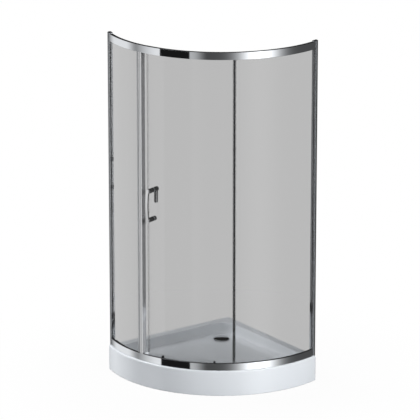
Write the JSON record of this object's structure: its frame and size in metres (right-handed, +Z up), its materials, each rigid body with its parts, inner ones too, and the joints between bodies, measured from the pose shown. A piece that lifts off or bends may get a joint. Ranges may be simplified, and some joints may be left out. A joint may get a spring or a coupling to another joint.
{
  "type": "corner shower enclosure",
  "caption": "Corner shower enclosure with a curved sliding door, two fixed curved glass panes, chrome frame and a white acrylic tray with waste trap.",
  "frame": {"origin": "on the floor under the middle of the bounding box", "axes": "+Z up; the room corner is towards +X and +Y, the back wall is the plane at the largest Y, the right wall the plane at the largest X, and the bowed front faces -X and -Y"},
  "size_m": [0.8999, 0.8999, 2.046],
  "materials": {
    "white_acrylic": "polished acrylic",
    "galvanised_steel": "galvanised, dull",
    "zinc_steel": "zinc plated",
    "black_rubber": "smooth rubber",
    "white_plastic": "moulded",
    "stainless": "bright stainless",
    "grey_plastic": "moulded",
    "dark_chrome": "dark bright plating",
    "chrome_profile": "bright anodised, mirror like",
    "dark_plastic": "moulded",
    "smoked_glass": "grey tinted, toughened",
    "clear_seal": "translucent grey",
    "dark_seal": "satin",
    "chromed_plastic": "plated",
    "black_nylon": "moulded",
    "white_nylon": "turned",
    "spring_steel": "bright wire",
    "chrome_cast": "mirror bright"
  },
  "bodies": {
    "enclosure": {"shower_tray": "white_acrylic", "tray_frame": "galvanised_steel", "foot_rods": "zinc_steel", "foot_nuts": "zinc_steel", "foot_pads": "black_rubber", "waste_body": "white_plastic", "waste_seal": "black_rubber", "waste_flange": "stainless", "waste_flange_screws": "stainless", "waste_cup": "grey_plastic", "waste_outlet_nut": "white_plastic", "waste_outlet_pipe": "grey_plastic", "wall_profile_left": "chrome_profile", "wall_profile_right": "chrome_profile", "side_post_left": "chrome_profile", "side_post_right": "chrome_profile", "post_cap_left": "dark_plastic", "post_cap_right": "dark_plastic", "post_screws": "stainless", "top_rail": "chrome_profile", "bottom_rail": "chrome_profile", "corner_blocks": "grey_plastic", "corner_screws": "stainless", "groove_strips": "dark_plastic", "fixed_glass_left": "smoked_glass", "fixed_glass_right": "smoked_glass", "setting_blocks": "black_rubber", "glazing_gaskets_top": "black_rubber", "glazing_gaskets_bottom": "black_rubber", "post_gaskets": "clear_seal", "closing_jamb": "chrome_profile", "jamb_gasket": "clear_seal", "jamb_magnet": "clear_seal", "right_pane_seal": "dark_seal", "door_stops": "black_rubber"},
    "door": {"door_glass": "smoked_glass", "door_magnet": "clear_seal", "door_rear_seal": "dark_seal", "hanger_plates": "chromed_plastic", "hanger_bushes": "black_nylon", "hanger_axles": "stainless", "guide_housing_left": "dark_plastic", "guide_housing_right": "dark_plastic", "guide_screws": "stainless", "guide_spring_left": "spring_steel", "guide_spring_right": "spring_steel", "handle_bow": "chrome_cast", "handle_washers": "clear_seal", "handle_peg": "chrome_cast", "handle_cap": "chrome_cast", "handle_bolts": "stainless"},
    "upper_wheel_1": {"upper_wheel_1": "white_nylon"},
    "upper_wheel_2": {"upper_wheel_2": "white_nylon"},
    "upper_wheel_3": {"upper_wheel_3": "white_nylon"},
    "upper_wheel_4": {"upper_wheel_4": "white_nylon"},
    "release_button_left": {"release_button_left": "black_nylon"},
    "release_button_right": {"release_button_right": "black_nylon"},
    "lower_wheel_left": {"lower_wheel_left": "white_nylon"},
    "lower_wheel_right": {"lower_wheel_right": "white_nylon"},
    "drain_cover": {"waste_cover": "dark_chrome"}
  },
  "joints": [
    {"name": "door_travel", "type": "hinge", "parent": "enclosure", "child": "door", "pos_m": [0.25, 0.25, 1.095], "axis": [0, 0, 1], "range_deg": [0, 38]},
    {"name": "upper_wheel_1_spin", "type": "hinge", "parent": "door", "child": "upper_wheel_1", "pos_m": [-0.3659, 0.02057, 2.01575], "axis": [-0.9272, -0.3746, 0], "continuous": true},
    {"name": "upper_wheel_2_spin", "type": "hinge", "parent": "door", "child": "upper_wheel_2", "pos_m": [-0.35242, -0.01281, 2.01575], "axis": [-0.9272, -0.3746, 0], "continuous": true},
    {"name": "upper_wheel_3_spin", "type": "hinge", "parent": "door", "child": "upper_wheel_3", "pos_m": [-0.18006, -0.24701, 2.01575], "axis": [-0.6334, -0.7738, 0], "continuous": true},
    {"name": "upper_wheel_4_spin", "type": "hinge", "parent": "door", "child": "upper_wheel_4", "pos_m": [-0.1522, -0.26981, 2.01575], "axis": [-0.6334, -0.7738, 0], "continuous": true},
    {"name": "left_button_press", "type": "slide", "parent": "door", "child": "release_button_left", "axis": [0, 0, -1], "range_m": [0, 0.004], "stiffness_N_per_m": 1200, "springref_m": -0.004, "deforming": ["guide_spring_left"]},
    {"name": "lower_wheel_left_spin", "type": "hinge", "parent": "release_button_left", "child": "lower_wheel_left", "pos_m": [-0.35916, 0.00388, 0.16525], "axis": [-0.9272, -0.3746, 0], "continuous": true},
    {"name": "right_button_press", "type": "slide", "parent": "door", "child": "release_button_right", "axis": [0, 0, -1], "range_m": [0, 0.004], "stiffness_N_per_m": 1200, "springref_m": -0.004, "deforming": ["guide_spring_right"]},
    {"name": "lower_wheel_right_spin", "type": "hinge", "parent": "release_button_right", "child": "lower_wheel_right", "pos_m": [-0.16613, -0.25841, 0.16525], "axis": [-0.6334, -0.7738, 0], "continuous": true},
    {"name": "drain_cover_lift", "type": "slide", "parent": "enclosure", "child": "drain_cover", "axis": [0, 0, 1], "range_m": [0, 0.15]}
  ],
  "couplings": [
    {"joint": "upper_wheel_1_spin", "follows": "door_travel", "ratio": -69.894},
    {"joint": "upper_wheel_2_spin", "follows": "door_travel", "ratio": -69.894},
    {"joint": "upper_wheel_3_spin", "follows": "door_travel", "ratio": -69.894},
    {"joint": "upper_wheel_4_spin", "follows": "door_travel", "ratio": -69.894},
    {"joint": "lower_wheel_left_spin", "follows": "door_travel", "ratio": 102.66},
    {"joint": "lower_wheel_right_spin", "follows": "door_travel", "ratio": 102.66}
  ]
}
